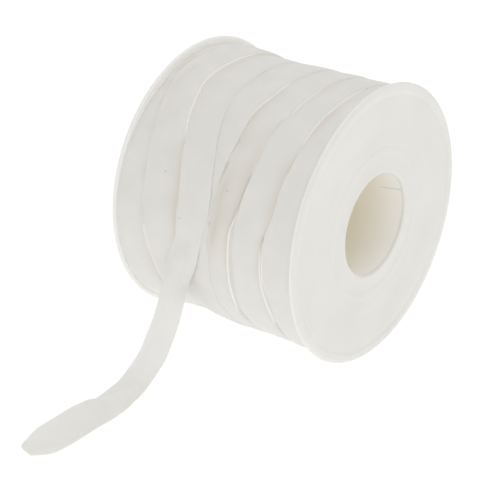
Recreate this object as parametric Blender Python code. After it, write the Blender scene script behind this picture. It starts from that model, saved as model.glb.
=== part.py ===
"""Roll of velvet ribbon wound on a flanged plastic spool, with its loose end on the floor.

Metres, +Z up. The spool lies with its axis along X, and the ribbon's loose end comes
over the top, down the front (-Y) and out along the floor. The origin is the middle of
the bottom of the whole object's box.
"""
from collections import namedtuple
from math import cos, pi, radians, sin

import bmesh
import bpy
from mathutils import Vector

MM = 0.001

# Spool
FLANGE_RADIUS = 40.0 * MM
FLANGE_FLAT = 0.3 * MM          # depth of the small flat that each flange rests on
HUB_HOLE_RADIUS = 14.6 * MM
CORE_BORE_RADIUS = 14.9 * MM
CORE_RADIUS = 16.4 * MM
CORE_HALF_LENGTH = 28.2 * MM
GAP = 0.3 * MM                  # between pieces that touch

# Ribbon
RIBBON_WIDTH = 10.5 * MM
RIBBON_THICKNESS = 1.0 * MM
LAID_END_ANGLE = 150.0          # where the loose turn's own sheet starts, behind the top
TAIL_REACH = 98.0 * MM          # from the spool's axis to the tip, along -Y

# Mesh steps
ROUND_STEPS = 72
PACK_COLUMNS = 48
SHEET_COLUMNS = 6
SHEET_STEP = 2.6 * MM

AXIS_HEIGHT = FLANGE_RADIUS - FLANGE_FLAT
AXIS_Y = (TAIL_REACH - FLANGE_RADIUS) / 2

# The flange's section from its hole outwards and back: radius, and place along the axis.
# The outer face is dished towards the hub, with a stepped ring, a soft trough and a rim bead.
FlangePoint = namedtuple("FlangePoint", "radius x")
FLANGE_SECTION = [
    FlangePoint(14.60, 29.45),
    FlangePoint(14.95, 29.75),
    FlangePoint(19.80, 29.95),
    FlangePoint(20.20, 30.20),
    FlangePoint(21.80, 30.26),
    FlangePoint(22.20, 30.05),
    FlangePoint(25.40, 30.22),
    FlangePoint(27.20, 30.12),
    FlangePoint(29.20, 30.36),
    FlangePoint(36.90, 30.62),
    FlangePoint(37.60, 30.95),
    FlangePoint(38.50, 31.00),
    FlangePoint(39.40, 30.85),
    FlangePoint(40.00, 30.40),
    FlangePoint(40.00, 29.75),
    FlangePoint(39.60, 29.45),
    FlangePoint(14.60, 28.50),
]
FLANGE_INNER_AT_HUB = 28.50
FLANGE_INNER_AT_RIM = 29.45
RIM_INNER_RADIUS = 39.60

# The turns that show, as two long runs of ribbon. The angle goes from the front (0) over
# the top (90) and the back (180) and on round, one turn every 360. Left and right are the
# ribbon's edges along the axis, and the tops are the outer radii at those edges, in mm.
Turn = namedtuple("Turn", "angle left right left_top right_top")
UPPER_RUN = [
    Turn(0, -10.2, 0.2, 38.9, 38.9),
    Turn(12, -9.6, 0.9, 38.9, 38.9),
    Turn(22, -9.5, 1.0, 38.9, 38.9),
    Turn(34, -11.2, -0.7, 38.8, 38.7),
    Turn(45, -13.8, -3.3, 38.4, 38.5),
    Turn(60, -16.0, -5.5, 37.9, 38.1),
    Turn(90, -16.4, -5.9, 37.4, 37.5),
    Turn(125, -16.6, -6.1, 37.2, 37.3),
    Turn(180, -17.5, -7.0, 37.8, 37.8),
    Turn(270, -19.6, -9.1, 37.8, 37.6),
    Turn(305, -20.8, -10.3, 38.0, 37.0),
    Turn(360, -21.3, -10.8, 38.2, 37.6),
    Turn(380, -21.6, -11.1, 38.3, 37.8),
    Turn(395, -23.0, -12.5, 38.3, 38.4),
    Turn(405, -24.4, -13.9, 38.0, 38.9),
    Turn(430, -27.8, -17.4, 36.8, 39.0),
    Turn(450, -26.6, -16.1, 37.2, 38.9),
    Turn(485, -26.4, -15.9, 38.8, 38.0),
    Turn(540, -26.8, -16.3, 38.6, 38.2),
    Turn(630, -28.2, -17.7, 38.6, 38.2),
    Turn(720, -29.1, -18.8, 38.9, 38.1),
    Turn(745, -29.1, -18.8, 39.0, 38.0),
    Turn(765, -29.1, -18.8, 37.6, 37.2),
    Turn(790, -29.1, -18.8, 36.4, 36.4),
]
LOWER_RUN = [
    Turn(-200, -11.5, -1.0, 36.3, 36.3),
    Turn(-150, -8.0, 2.5, 37.0, 37.4),
    Turn(-100, -4.6, 5.9, 37.9, 38.3),
    Turn(-55, -3.6, 6.9, 38.2, 38.7),
    Turn(-30, -6.2, 4.3, 38.1, 38.6),
    Turn(-12, -9.4, 1.1, 37.6, 38.1),
    Turn(0, -10.0, 0.5, 37.4, 37.6),
    Turn(20, -8.1, 2.4, 37.4, 38.2),
    Turn(45, -8.6, 1.9, 37.4, 38.4),
    Turn(60, -7.2, 3.3, 37.6, 38.2),
    Turn(80, -5.0, 5.5, 37.8, 38.2),
    Turn(125, -4.1, 6.4, 37.9, 38.1),
    Turn(180, -2.8, 7.7, 38.0, 38.2),
    Turn(270, -0.8, 9.7, 38.2, 38.4),
    Turn(305, -0.2, 10.3, 38.3, 38.4),
    Turn(335, -2.5, 8.0, 37.4, 38.2),
    Turn(360, -2.3, 8.2, 36.7, 37.7),
    Turn(376, -1.3, 9.2, 36.6, 37.6),
    Turn(403, 1.4, 11.9, 37.0, 37.4),
    Turn(440, 4.6, 15.1, 37.8, 37.9),
    Turn(485, 5.4, 15.9, 38.0, 38.0),
    Turn(540, 6.8, 17.3, 38.2, 38.2),
    Turn(630, 8.8, 19.3, 38.2, 38.1),
    Turn(700, 10.1, 20.6, 38.4, 38.0),
    Turn(720, 10.2, 20.7, 38.6, 38.0),
    Turn(763, 11.9, 22.4, 38.9, 37.9),
    Turn(795, 14.0, 24.5, 38.4, 38.0),
    Turn(845, 14.9, 25.4, 38.2, 38.4),
    Turn(900, 15.6, 26.1, 38.2, 38.3),
    Turn(990, 17.5, 28.0, 38.2, 38.2),
    Turn(1055, 19.5, 29.1, 38.1, 38.2),
    Turn(1080, 18.8, 29.1, 38.7, 38.6),
    Turn(1103, 21.2, 29.1, 39.0, 38.7),
    Turn(1140, 22.6, 29.1, 38.9, 38.4),
    Turn(1200, 23.6, 29.1, 38.7, 38.7),
    Turn(1280, 24.0, 29.1, 36.4, 36.4),
]
UNDER_RADIUS = 36.3             # the turns below, where no turn of the two runs covers them
CROWN = 0.2                     # a turn's middle stands this much above its edges
EDGE_FALL = 1.3                 # how fast the roll's surface drops beside a turn, mm for a mm

# Room left in the roll for the loose turn's sheet: how far past the sheet's edges the low
# band runs, how fast it rises beyond, and the angles where it ends below the front.
ROOM_BESIDE = 1.3
ROOM_RISE = 1.3
ROOM_FRONT_ANGLE = -14.0
ROOM_FRONT_RISE = 0.16          # mm for a degree
STEP_ANGLES = (0.5, 1.0)        # behind the sheet's start, the foot and the top of the step

# The loose end past the front of the roll: its centre line, and how its section leans
# (left edge outwards) and cups (both edges outwards). Y is from the axis, Z from the floor.
Station = namedtuple("Station", "x y z lean cup")
LOOSE_END = [
    Station(-6.6, -40.1, 34.0, -5, -1.2),
    Station(-7.2, -41.3, 27.2, -10, -1.8),
    Station(-7.7, -42.8, 21.6, -13, -2.2),
    Station(-8.3, -44.6, 16.2, -13, -2.2),
    Station(-9.0, -46.8, 11.4, -13, -2.2),
    Station(-9.6, -49.4, 7.4, -12, -2.2),
    Station(-10.1, -52.6, 4.4, -9, -2.1),
    Station(-10.2, -56.8, 2.4, -4, -1.9),
    Station(-9.6, -62.0, 1.2, 0, -1.5),
    Station(-9.2, -70.0, 0.8, 2, -0.8),
    Station(-9.2, -78.0, 1.4, 10, 0.1),
    Station(-9.2, -87.0, 1.5, 10, 0.1),
    Station(-9.2, -94.0, 1.2, 6, 0.1),
    Station(-9.2, -98.0, 0.9, 3, 0.1),
]

# The tip is cut a little askew: how far its left corner, middle and right corner stand back.
TIP_LENGTH = 9.0
TIP_LEFT_BACK = 1.2
TIP_RIGHT_BACK = 3.0


def srgb(hex_code):
    """Turn an sRGB hex colour into linear red, green, blue and full alpha."""
    channels = [int(hex_code[i:i + 2], 16) / 255 for i in (0, 2, 4)]
    linear = [c / 12.92 if c <= 0.04045 else ((c + 0.055) / 1.055) ** 2.4 for c in channels]
    return (*linear, 1.0)


def plain_material(name, hex_code, roughness):
    material = bpy.data.materials.new(name)
    material.use_nodes = True
    shader = material.node_tree.nodes["Principled BSDF"]
    shader.inputs["Base Color"].default_value = srgb(hex_code)
    shader.inputs["Roughness"].default_value = roughness
    shader.inputs["Metallic"].default_value = 0.0
    material.diffuse_color = srgb(hex_code)
    return material


def clear_scene():
    for item in list(bpy.data.objects):
        bpy.data.objects.remove(item, do_unlink=True)


def add_object(name, bm, material, spool_axis):
    """Make an object of the mesh, shaded smooth, and put it on the spool's axis."""
    bmesh.ops.recalc_face_normals(bm, faces=bm.faces)
    mesh = bpy.data.meshes.new(name)
    bm.to_mesh(mesh)
    bm.free()
    mesh.shade_smooth()
    mesh.set_sharp_from_angle(angle=radians(35))
    mesh.materials.append(material)
    piece = bpy.data.objects.new(name, mesh)
    bpy.context.collection.objects.link(piece)
    piece.parent = spool_axis
    return piece


def read_rows(rows, column, key):
    """Read one column of a table at any key, on a smooth curve through the rows."""
    keys = [row[0] for row in rows]
    values = [getattr(row, column) for row in rows]
    key = min(max(key, keys[0]), keys[-1])
    i = next(n for n in range(len(keys) - 1) if key <= keys[n + 1])
    span = keys[i + 1] - keys[i]
    steps = [(values[n + 1] - values[n]) / (keys[n + 1] - keys[n]) for n in range(len(keys) - 1)]

    def slope(n):
        if n == 0 or n == len(keys) - 1:
            return 0.0
        before, after = steps[n - 1], steps[n]
        return 0.0 if before * after <= 0 else 2 * before * after / (before + after)

    t = (key - keys[i]) / span
    rise = values[i + 1] - values[i]
    return (values[i] + rise * (3 - 2 * t) * t * t
            + span * t * (1 - t) * (slope(i) * (1 - t) - slope(i + 1) * t))


def ring_point(x, radius, angle):
    """A point at a radius round the axis; angle 0 is the front and 90 the top."""
    return Vector((x, -radius * cos(radians(angle)), radius * sin(radians(angle))))


def lathe(rings):
    """Close a list of equal rings of points, one for each step round the axis, into a skin."""
    bm = bmesh.new()
    loops = [[bm.verts.new(point) for point in ring] for ring in rings]
    for n, ring in enumerate(loops):
        after = loops[(n + 1) % len(loops)]
        for i in range(len(ring)):
            j = (i + 1) % len(ring)
            bm.faces.new((ring[i], ring[j], after[j], after[i]))
    return bm


def flange(name, side, material, spool_axis):
    """One round flange, turned from its section, with a small flat at its foot."""
    rings = []
    for n in range(ROUND_STEPS):
        angle = 360.0 * (n + 0.5) / ROUND_STEPS
        ring = [ring_point(side * p.x * MM, p.radius * MM, angle) for p in FLANGE_SECTION]
        rings.append(ring)
    piece = add_object(name, lathe(rings), material, spool_axis)
    cutter = box_cutter(name + "_flat")
    cutter.parent = spool_axis
    cut = piece.modifiers.new("resting flat", "BOOLEAN")
    cut.operation = "DIFFERENCE"
    cut.object = cutter
    return piece


def box_cutter(name):
    """A guide box whose top face is the floor that the flanges are flattened on."""
    half = Vector((2 * FLANGE_RADIUS, FLANGE_RADIUS, FLANGE_RADIUS / 4))
    bm = bmesh.new()
    bmesh.ops.create_cube(bm, size=2.0)
    for vert in bm.verts:
        vert.co = Vector((vert.co.x * half.x, vert.co.y * half.y, vert.co.z * half.z))
        vert.co.z -= AXIS_HEIGHT + half.z
    mesh = bpy.data.meshes.new(name)
    bm.to_mesh(mesh)
    bm.free()
    cutter = bpy.data.objects.new(name, mesh)
    bpy.context.collection.objects.link(cutter)
    cutter.hide_render = True
    cutter.display_type = "WIRE"
    return cutter


def core_tube(material, spool_axis):
    """The hollow core between the flanges."""
    section = [
        (-CORE_HALF_LENGTH, CORE_BORE_RADIUS),
        (-CORE_HALF_LENGTH, CORE_RADIUS),
        (CORE_HALF_LENGTH, CORE_RADIUS),
        (CORE_HALF_LENGTH, CORE_BORE_RADIUS),
    ]
    rings = []
    for n in range(ROUND_STEPS):
        angle = 360.0 * (n + 0.5) / ROUND_STEPS
        rings.append([ring_point(x, radius, angle) for x, radius in section])
    return add_object("core_tube", lathe(rings), material, spool_axis)


def run_top(rows, x, angle):
    """The highest top that a run of ribbon gives the roll at a place, in mm."""
    best = UNDER_RADIUS
    turn_angle = angle - 360.0
    while turn_angle <= rows[-1].angle:
        if turn_angle >= rows[0].angle:
            left = read_rows(rows, "left", turn_angle)
            right = read_rows(rows, "right", turn_angle)
            left_top = read_rows(rows, "left_top", turn_angle)
            right_top = read_rows(rows, "right_top", turn_angle)
            across = min(max((x - left) / (right - left), 0.0), 1.0)
            beside = max(left - x, x - right, 0.0)
            top = left_top + (right_top - left_top) * across
            top += CROWN * (1 - (2 * across - 1) ** 4) - EDGE_FALL * beside
            best = max(best, top)
        turn_angle += 360.0
    return best


def sheet_room(x, angle):
    """How high the roll may reach under the loose turn's sheet and beside it, in mm."""
    turn_angle = angle if angle < 270.0 else angle - 360.0
    on_turn = max(turn_angle, 0.0)
    left = read_rows(UPPER_RUN, "left", on_turn) - ROOM_BESIDE
    right = read_rows(UPPER_RUN, "right", on_turn) + ROOM_BESIDE
    low = min(read_rows(UPPER_RUN, "left_top", on_turn), read_rows(UPPER_RUN, "right_top", on_turn))
    beside = max(left - x, x - right, 0.0)
    below = max(ROOM_FRONT_ANGLE - turn_angle, 0.0)
    return low - (RIBBON_THICKNESS + GAP) / MM + ROOM_RISE * beside + ROOM_FRONT_RISE * below


def pack_top(x, angle):
    """Outer radius of the wound roll, in mm, with room left for the loose turn's sheet."""
    first = Turn(LAID_END_ANGLE, *(read_rows(UPPER_RUN, column, LAID_END_ANGLE)
                                   for column in Turn._fields[1:]))
    wound = [first] + [row for row in UPPER_RUN if row.angle > LAID_END_ANGLE]
    top = max(run_top(wound, x, angle), run_top(LOWER_RUN, x, angle))
    if LAID_END_ANGLE + STEP_ANGLES[0] < angle < 270.0:
        return top
    return min(top, sheet_room(x, angle))


def pack_side(radius):
    """Half length of the roll at a radius, in mm: it follows the flange's inner face."""
    share = (radius * MM - HUB_HOLE_RADIUS) / (RIM_INNER_RADIUS * MM - HUB_HOLE_RADIUS)
    face = FLANGE_INNER_AT_HUB + (FLANGE_INNER_AT_RIM - FLANGE_INNER_AT_HUB) * share
    return face - GAP / MM


def ribbon_pack(material, spool_axis):
    """The wound roll as one solid, with the relief of the turns that show."""
    inner = CORE_RADIUS / MM + GAP / MM
    angles = [360.0 * n / ROUND_STEPS for n in range(ROUND_STEPS)]
    angles += [LAID_END_ANGLE + step for step in STEP_ANGLES]
    rings = []
    for angle in sorted(angles):
        ring = [ring_point(-pack_side(inner) * MM, inner * MM, angle)]
        for c in range(PACK_COLUMNS + 1):
            share = 2.0 * c / PACK_COLUMNS - 1.0
            side = pack_side(UNDER_RADIUS)
            top = pack_top(share * (side - 0.05), angle)
            x = share * pack_side(top) if abs(share) == 1.0 else share * side
            ring.append(ring_point(x * MM, top * MM, angle))
        ring.append(ring_point(pack_side(inner) * MM, inner * MM, angle))
        rings.append(ring)
    return add_object("ribbon_pack", lathe(rings), material, spool_axis)


def loose_turn_rows():
    """Sections of the ribbon's last turn, where it lies on the roll, from the back down."""
    rows = []
    steps = round(radians(LAID_END_ANGLE) * 38.0 * MM / SHEET_STEP)
    for n in range(steps):
        angle = LAID_END_ANGLE * (1 - n / steps)
        left, right, left_top, right_top = (
            read_rows(UPPER_RUN, column, angle) for column in Turn._fields[1:])
        row = []
        for c in range(SHEET_COLUMNS + 1):
            across = c / SHEET_COLUMNS
            x = left + (right - left) * across
            radius = left_top + (right_top - left_top) * across - RIBBON_THICKNESS / MM / 2
            row.append(ring_point(x * MM, radius * MM, angle))
        rows.append(row)
    return rows


def curve_through(points, step):
    """Points about a step apart on a smooth curve through the given ones."""
    ends = [2 * points[0] - points[1]] + points + [2 * points[-1] - points[-2]]
    spots = []
    for i in range(1, len(ends) - 2):
        a, b, c, d = ends[i - 1:i + 3]
        count = max(2, round((c - b).length / step))
        for n in range(count):
            t = n / count
            spot = 0.5 * (2 * b + (c - a) * t + (2 * a - 5 * b + 4 * c - d) * t * t
                          + (3 * b - a - 3 * c + d) * t ** 3)
            spots.append((i - 1 + t, spot))
    spots.append((len(points) - 1, points[-1]))
    return spots


def loose_end_rows():
    """Sections of the loose end, from the front of the roll down and out along the floor."""
    front = UPPER_RUN[0]
    width = RIBBON_WIDTH / MM
    half_thick = RIBBON_THICKNESS / MM / 2
    start = Vector(((front.left + front.right) / 2, half_thick - front.left_top, AXIS_HEIGHT / MM))
    points = [start] + [Vector((s.x, s.y, s.z)) for s in LOOSE_END]
    spots = curve_through(points, SHEET_STEP / MM)
    rows = []
    for n, (place, spot) in enumerate(spots):
        ahead = spots[min(n + 1, len(spots) - 1)][1] - spots[max(n - 1, 0)][1]
        ahead.normalize()
        whole = min(int(place), len(points) - 2)
        part = place - whole

        def blend(column):
            values = [0.0] + [getattr(s, column) for s in LOOSE_END]
            return values[whole] + (values[whole + 1] - values[whole]) * part

        across_way = Vector((1, 0, 0)) - ahead * ahead.x
        across_way.normalize()
        out_way = ahead.cross(across_way)
        lean = radians(blend("lean"))
        across_leaned = across_way * cos(lean) - out_way * sin(lean)
        out_leaned = out_way * cos(lean) + across_way * sin(lean)
        cup = blend("cup")
        half_chord = (width - 8 * cup * cup / (3 * width)) / 2
        tip = max(1 - (spot - points[-1]).length / TIP_LENGTH, 0.0) ** 2
        row = []
        for c in range(SHEET_COLUMNS + 1):
            across = 2 * c / SHEET_COLUMNS - 1
            back = TIP_LEFT_BACK if across < 0 else TIP_RIGHT_BACK
            point = spot + across_leaned * (across * half_chord)
            point += out_leaned * cup * (across * across - 1 / 3)
            point -= ahead * back * across * across * tip
            row.append(point)
        sunk = max(half_thick - min(point.z for point in row), 0.0)
        rows.append([(point + Vector((0, 0, sunk - AXIS_HEIGHT / MM))) * MM for point in row])
    return rows


def ribbon_tail(material, spool_axis):
    """The last turn and the loose end as one sheet of cloth."""
    rows = loose_turn_rows() + loose_end_rows()
    bm = bmesh.new()
    loops = [[bm.verts.new(point) for point in row] for row in rows]
    for before, after in zip(loops, loops[1:]):
        for i in range(SHEET_COLUMNS):
            bm.faces.new((before[i], before[i + 1], after[i + 1], after[i]))
    piece = add_object("ribbon_tail", bm, material, spool_axis)
    thick = piece.modifiers.new("cloth thickness", "SOLIDIFY")
    thick.thickness = RIBBON_THICKNESS
    thick.offset = 0.0
    return piece


def main():
    clear_scene()
    spool_axis = bpy.data.objects.new("spool_axis", None)
    spool_axis.location = (0.0, AXIS_Y, AXIS_HEIGHT)
    bpy.context.collection.objects.link(spool_axis)
    plastic = plain_material("white moulded plastic", "E6E4DF", 0.4)
    core_plastic = plain_material("cream core plastic", "DDD6C4", 0.5)
    velvet = plain_material("white velvet", "E0DED9", 0.9)
    flange("flange_left", -1, plastic, spool_axis)
    flange("flange_right", 1, plastic, spool_axis)
    core_tube(core_plastic, spool_axis)
    ribbon_pack(velvet, spool_axis)
    ribbon_tail(velvet, spool_axis)


main()
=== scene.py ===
"""Looks of a roll of white velvet ribbon wound on a white moulded spool.

The scene is in metres, with +Z up and the spool's axis along X. The tables below are in mm.
The ribbon is laid up as it is wound: long strips with a thick pile and thin woven selvedges,
lying in turns over and under each other, and one loose end that leaves the front of the roll
and runs out along the floor.
"""
from collections import namedtuple
from math import atan2, cos, degrees, hypot, pi, radians, sin

import bmesh
import bpy
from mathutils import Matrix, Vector


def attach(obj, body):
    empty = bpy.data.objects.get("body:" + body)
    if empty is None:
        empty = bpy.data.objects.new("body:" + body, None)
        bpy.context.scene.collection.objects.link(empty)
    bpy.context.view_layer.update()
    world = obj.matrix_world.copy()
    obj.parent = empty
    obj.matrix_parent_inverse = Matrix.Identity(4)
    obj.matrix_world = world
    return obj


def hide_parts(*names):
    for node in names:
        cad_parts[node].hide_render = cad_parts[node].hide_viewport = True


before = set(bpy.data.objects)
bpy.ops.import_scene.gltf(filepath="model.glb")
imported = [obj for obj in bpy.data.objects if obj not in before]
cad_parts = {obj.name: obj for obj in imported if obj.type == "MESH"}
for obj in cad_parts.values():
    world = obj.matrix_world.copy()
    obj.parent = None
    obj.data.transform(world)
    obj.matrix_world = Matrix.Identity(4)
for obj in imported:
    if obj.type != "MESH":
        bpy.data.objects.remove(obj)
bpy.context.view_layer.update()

MM = 0.001

# Spool, in mm
AXIS_Y = 29.0
AXIS_Z = 39.7
CORE_BORE_RADIUS = 14.9
CORE_RADIUS = 16.4
CORE_HALF_LENGTH = 29.5         # its ends sit in the flanges
ROUND_STEPS = 240
MERGE_DISTANCE = 0.002
SCRATCH_START = 21.6            # place along the axis where the scratch in the bore begins
SCRATCH_ANGLE = 165.5           # and its angle there
SCRATCH_SLOPE = 0.72            # degrees it comes down for each mm

# Ribbon, in mm
RIBBON_WIDTH = 10.5
LAID_RADIUS = 38.0              # lengths along the turns are measured at this radius
LAID_END_ANGLE = 150.0          # from here to the front, the last turn goes with the loose end
TURN_STEP = 2.0                 # degrees between two sections of a wound turn
SHEET_STEP = 0.8                # between two sections of the loose end
TURN_AWAY = 14.0                # the loose end's sections turn square to it over this length
CURL_FULL = 9.0                 # its edges lie on the roll over this length below the front
CURL_FADE = 9.0                 # and come away from it over this length
CURL_FLAT = 0.4                 # this share of the half width stays flat
SINGLE_FROM = 40.0              # light comes through the loose end beyond this radius
SINGLE_FADE = 8.0               # fully after this much more
FLOOR_SHADE = 4.0               # and less where it hangs lower than this over the floor
LINT_SPACING = 38.0             # between two specks of lint

# The flange's section from its hole outwards and back: radius, and place along the axis.
FlangePoint = namedtuple("FlangePoint", "radius x")
FLANGE_SECTION = [
    FlangePoint(14.75, 29.55),
    FlangePoint(14.75, 29.98),
    FlangePoint(14.80, 30.18),
    FlangePoint(14.94, 30.36),
    FlangePoint(15.16, 30.47),
    FlangePoint(15.45, 30.50),
    FlangePoint(15.80, 30.44),
    FlangePoint(16.40, 30.26),
    FlangePoint(17.50, 30.08),
    FlangePoint(19.55, 30.01),
    FlangePoint(19.85, 30.05),
    FlangePoint(20.12, 30.14),
    FlangePoint(20.40, 30.19),
    FlangePoint(21.00, 30.21),
    FlangePoint(21.60, 30.20),
    FlangePoint(21.86, 30.16),
    FlangePoint(22.10, 30.09),
    FlangePoint(22.45, 30.06),
    FlangePoint(23.40, 30.12),
    FlangePoint(24.60, 30.21),
    FlangePoint(25.60, 30.19),
    FlangePoint(26.60, 30.13),
    FlangePoint(27.60, 30.14),
    FlangePoint(28.60, 30.26),
    FlangePoint(29.60, 30.37),
    FlangePoint(32.50, 30.48),
    FlangePoint(34.80, 30.58),
    FlangePoint(35.40, 30.60),
    FlangePoint(36.30, 30.57),
    FlangePoint(36.95, 30.58),
    FlangePoint(37.20, 30.66),
    FlangePoint(37.45, 30.85),
    FlangePoint(37.80, 30.96),
    FlangePoint(38.50, 31.00),
    FlangePoint(39.20, 30.94),
    FlangePoint(39.65, 30.76),
    FlangePoint(39.92, 30.50),
    FlangePoint(40.00, 30.20),
    FlangePoint(40.00, 29.90),
    FlangePoint(39.92, 29.78),
    FlangePoint(39.75, 29.66),
    FlangePoint(39.40, 29.54),
    FlangePoint(38.60, 29.46),
    FlangePoint(37.40, 29.42),
    FlangePoint(28.00, 29.05),
    FlangePoint(16.90, 28.60),
    FlangePoint(16.75, 28.70),
    FlangePoint(16.75, 29.50),
]

# The turns that show, as long runs of ribbon. The angle goes from the front (0) over the
# top (90) and the back (180) and on round, one turn every 360. Left and right are the
# ribbon's edges along the axis, and the tops are the outer radii at those edges, in mm.
Turn = namedtuple("Turn", "angle left right left_top right_top")
UPPER_RUN = [
    Turn(-25, -12.5, -2.0, 43.0, 44.0),
    Turn(0, -9.7, -0.5, 38.4, 38.9),
    Turn(12, -9.4, 1.1, 38.6, 38.65),
    Turn(20, -9.7, 1.2, 38.65, 38.55),
    Turn(27, -10.7, 0.3, 38.65, 38.55),
    Turn(35, -12.1, -0.9, 38.6, 38.48),
    Turn(45, -14.0, -3.1, 38.3, 38.29),
    Turn(60, -16.9, -5.4, 37.9, 37.93),
    Turn(75, -18.0, -5.7, 37.7, 37.73),
    Turn(90, -17.2, -5.7, 37.5, 37.52),
    Turn(125, -17.0, -5.4, 37.2, 37.4),
    Turn(180, -17.5, -7.0, 37.8, 37.8),
    Turn(270, -19.6, -9.1, 37.8, 37.6),
    Turn(305, -19.9, -9.4, 38.0, 37.4),
    Turn(339, -19.5, -9.0, 38.1, 37.8),
    Turn(360, -21.1, -9.2, 38.2, 37.8),
    Turn(380, -21.6, -9.3, 38.2, 37.8),
    Turn(395, -23.0, -11.0, 38.1, 38.0),
    Turn(405, -24.4, -13.7, 38.0, 38.7),
    Turn(415, -26.0, -15.6, 37.6, 38.7),
    Turn(430, -27.6, -17.3, 37.4, 38.6),
    Turn(450, -26.9, -16.3, 37.8, 38.4),
    Turn(485, -26.4, -15.9, 38.6, 38.0),
    Turn(540, -26.8, -16.3, 38.6, 38.2),
    Turn(630, -28.2, -17.7, 38.6, 38.2),
    Turn(700, -29.51, -18.6, 39.1, 37.8),
    Turn(720, -29.52, -18.6, 39.3, 37.8),
    Turn(745, -29.51, -18.8, 39.1, 37.8),
    Turn(765, -29.44, -19.6, 38.4, 37.3),
    Turn(790, -29.41, -20.2, 37.2, 36.6),
    Turn(810, -29.41, -20.2, 36.4, 36.2),
]
LOWER_RUN = [
    Turn(-245, -11.0, -0.5, 36.9, 36.9),
    Turn(-200, -9.4, 1.1, 37.5, 37.5),
    Turn(-150, -8.0, 2.5, 37.8, 37.9),
    Turn(-100, -7.4, 3.1, 37.9, 38.3),
    Turn(-55, -8.2, 2.3, 38.2, 38.5),
    Turn(-34, -8.8, 1.6, 38.1, 38.1),
    Turn(-20, -9.2, 1.3, 38.0, 38.2),
    Turn(-10, -9.4, 1.2, 37.8, 38.0),
    Turn(0, -9.6, 1.2, 37.6, 38.2),
    Turn(20, -8.6, 2.0, 37.4, 38.5),
    Turn(33, -8.6, 2.6, 37.5, 38.6),
    Turn(45, -8.0, 3.1, 37.8, 38.4),
    Turn(60, -6.1, 3.1, 37.8, 38.2),
    Turn(75, -6.3, 4.8, 37.6, 38.1),
    Turn(90, -6.3, 5.3, 37.4, 38.0),
    Turn(125, -6.0, 6.0, 37.2, 38.1),
    Turn(180, -3.4, 7.4, 38.0, 38.2),
    Turn(270, -0.8, 9.7, 38.2, 38.4),
    Turn(305, -1.2, 9.0, 38.3, 38.3),
    Turn(330, -3.3, 7.2, 37.9, 38.2),
    Turn(340, -3.0, 7.5, 37.9, 38.1),
    Turn(352, -2.8, 7.5, 37.5, 37.7),
    Turn(366, -2.2, 7.7, 37.2, 37.3),
    Turn(377, -1.0, 9.5, 37.2, 37.3),
    Turn(384, -0.6, 10.3, 37.2, 37.4),
    Turn(396, 0.8, 11.6, 37.5, 37.5),
    Turn(404, 1.8, 12.3, 37.5, 37.6),
    Turn(412, 2.2, 12.7, 37.6, 37.8),
    Turn(426, 2.5, 13.8, 37.4, 38.1),
    Turn(440, 3.7, 14.8, 37.4, 38.2),
    Turn(485, 4.8, 15.6, 37.6, 38.1),
    Turn(540, 6.8, 17.3, 38.2, 38.2),
    Turn(630, 8.8, 19.3, 38.2, 38.1),
    Turn(691, 8.5, 19.2, 38.0, 37.9),
    Turn(713, 9.4, 18.5, 38.1, 37.9),
    Turn(727, 9.5, 18.8, 38.1, 38.0),
    Turn(737, 10.2, 20.9, 38.4, 38.0),
    Turn(744, 10.6, 21.9, 38.4, 38.0),
    Turn(756, 11.5, 22.4, 38.5, 37.9),
    Turn(764, 11.6, 22.3, 38.5, 38.0),
    Turn(773, 11.9, 22.4, 38.3, 38.4),
    Turn(786, 12.6, 22.9, 37.7, 38.6),
    Turn(795, 13.3, 23.8, 37.5, 38.6),
    Turn(812, 14.0, 24.8, 37.5, 38.5),
    Turn(845, 14.9, 25.4, 37.8, 38.2),
    Turn(900, 15.6, 26.1, 38.2, 38.3),
    Turn(990, 17.5, 28.0, 38.2, 38.2),
    Turn(1058, 20.4, 29.41, 38.1, 38.2),
    Turn(1075, 19.1, 29.41, 38.4, 38.6),
    Turn(1086, 19.4, 29.41, 38.6, 38.6),
    Turn(1094, 20.0, 29.41, 38.6, 38.6),
    Turn(1101, 21.1, 29.41, 38.6, 38.6),
    Turn(1115, 21.4, 29.41, 38.6, 38.5),
    Turn(1121, 21.9, 29.41, 38.5, 38.5),
    Turn(1130, 21.8, 29.41, 38.2, 38.4),
    Turn(1145, 21.6, 29.41, 37.6, 38.3),
    Turn(1165, 21.9, 29.41, 37.5, 38.3),
    Turn(1200, 23.4, 29.41, 37.8, 38.4),
    Turn(1280, 24.0, 29.41, 37.6, 37.8),
    Turn(1350, 24.4, 29.41, 37.1, 37.4),
    Turn(1400, 24.2, 29.41, 36.6, 36.8),
    Turn(1425, 24.0, 29.41, 36.0, 36.0),
]
FLANGE_RUN = [                  # the turn below, against the left flange
    Turn(50, -29.41, -19.4, 36.6, 36.0),
    Turn(68, -29.42, -19.4, 37.9, 36.7),
    Turn(104, -29.41, -19.2, 38.0, 37.4),
    Turn(200, -29.41, -19.0, 37.8, 37.0),
    Turn(340, -29.41, -19.0, 37.0, 36.4),
]

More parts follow.
